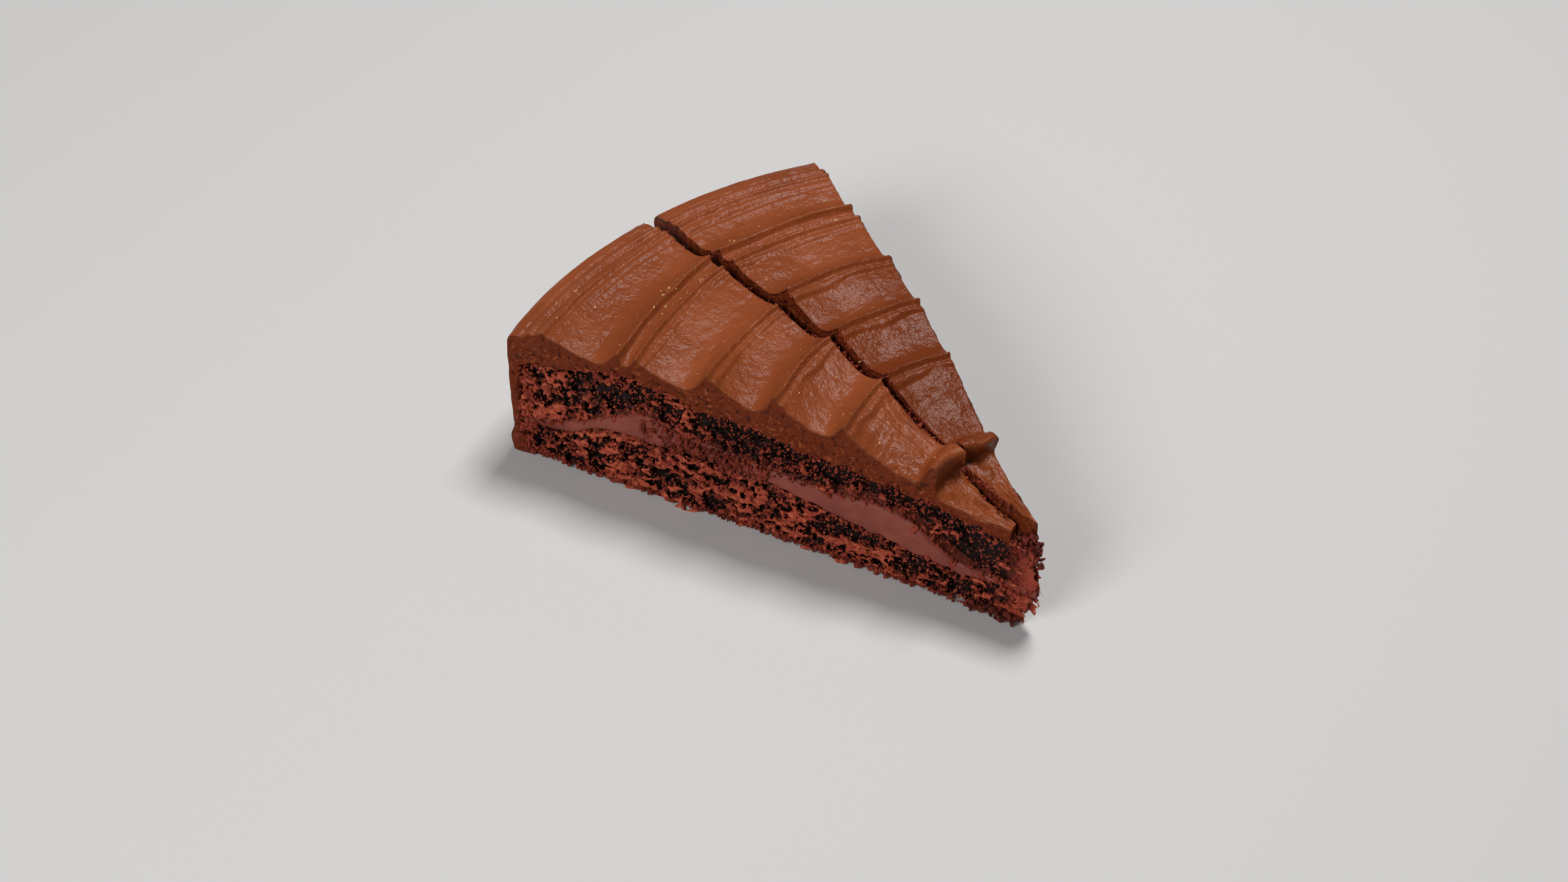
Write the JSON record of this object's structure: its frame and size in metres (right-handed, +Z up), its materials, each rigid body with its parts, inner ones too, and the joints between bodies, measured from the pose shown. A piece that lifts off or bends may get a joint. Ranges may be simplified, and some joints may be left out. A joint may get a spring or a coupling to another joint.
{
  "type": "slice of chocolate cake",
  "caption": "Wedge of two-layer chocolate cake cut lengthwise into two thin wedges, with cream filling and thick frosting in concentric ridges that turns down over the rim.",
  "frame": {"origin": "under the middle of the slice's box, on the surface it rests on", "axes": "+X from the rim to the tip along the middle of the slice, +Y towards the far half, +Z up"},
  "size_m": [0.128, 0.095, 0.042],
  "materials": {
    "sponge": "matte, open dark chocolate crumb",
    "filling": "smooth chocolate cream, satin",
    "frosting": "satin chocolate frosting with fine spatula lines"
  },
  "bodies": {
    "root": {"sponge_lower_near": "sponge", "sponge_lower_far": "sponge", "sponge_upper_near": "sponge", "sponge_upper_far": "sponge", "filling_near": "filling", "filling_far": "filling", "frosting_near": "frosting", "frosting_far": "frosting"}
  },
  "joints": []
}
